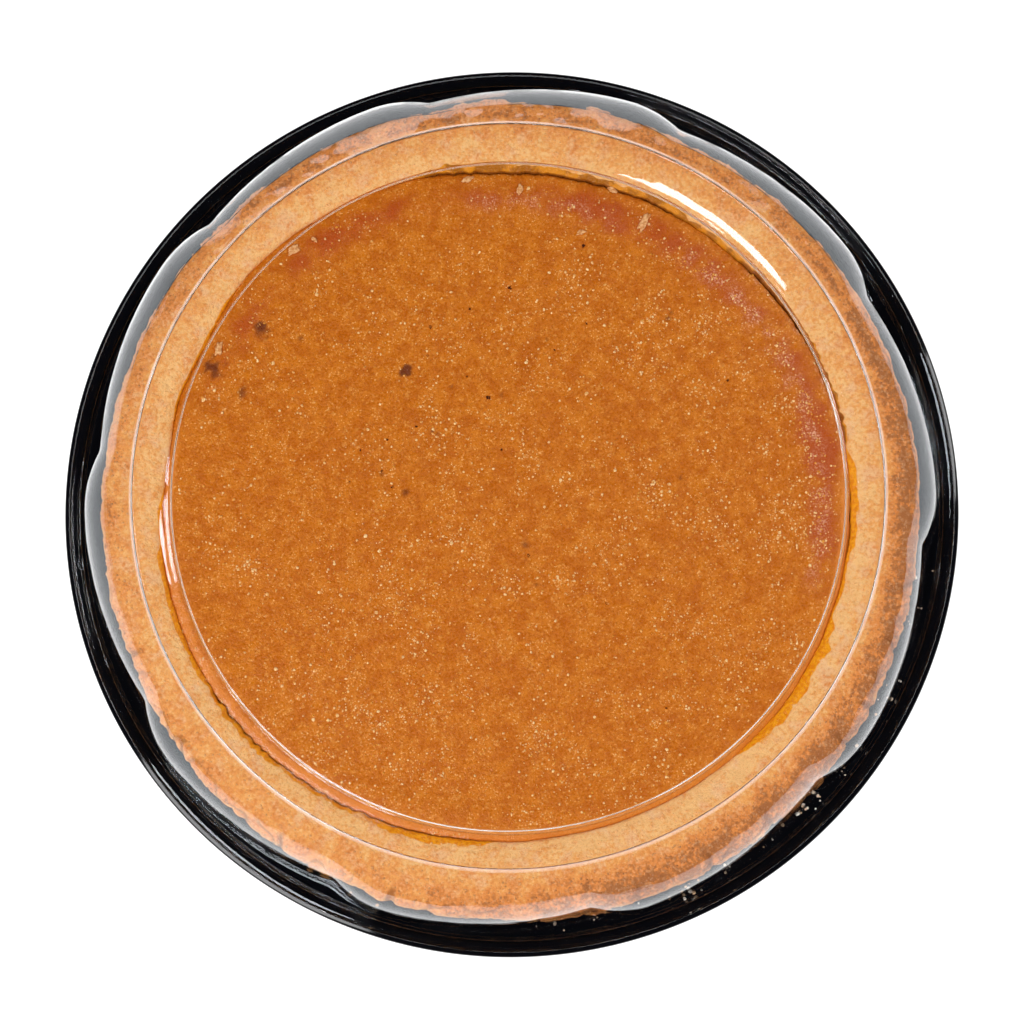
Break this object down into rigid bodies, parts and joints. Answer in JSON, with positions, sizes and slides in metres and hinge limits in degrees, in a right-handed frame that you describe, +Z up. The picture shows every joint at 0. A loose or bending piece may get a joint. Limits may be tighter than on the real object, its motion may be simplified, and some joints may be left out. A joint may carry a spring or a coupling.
{
  "type": "pumpkin pie",
  "caption": "Whole round pumpkin pie with a thick crumbly crust, in a black plastic tray under a clear dome lid with pinwheel lobes and a flange that clips over the tray.",
  "frame": {"origin": "centre of the tray's foot, on the surface that the pack stands on", "axes": "+Z up through the pie's centre; +Y towards the back of the pack and +X to its right"},
  "size_m": [0.3368, 0.3368, 0.0677],
  "materials": {
    "black_plastic": "glossy thermoformed sheet",
    "pastry": "baked shortcrust, dry and crumbly",
    "pumpkin_custard": "baked custard with a moist sheen",
    "clear_plastic": "clear thermoformed sheet"
  },
  "bodies": {
    "root": {"base_tray": "black_plastic", "pie_crust": "pastry", "pumpkin_filling": "pumpkin_custard", "dome_lid": "clear_plastic"}
  },
  "joints": []
}
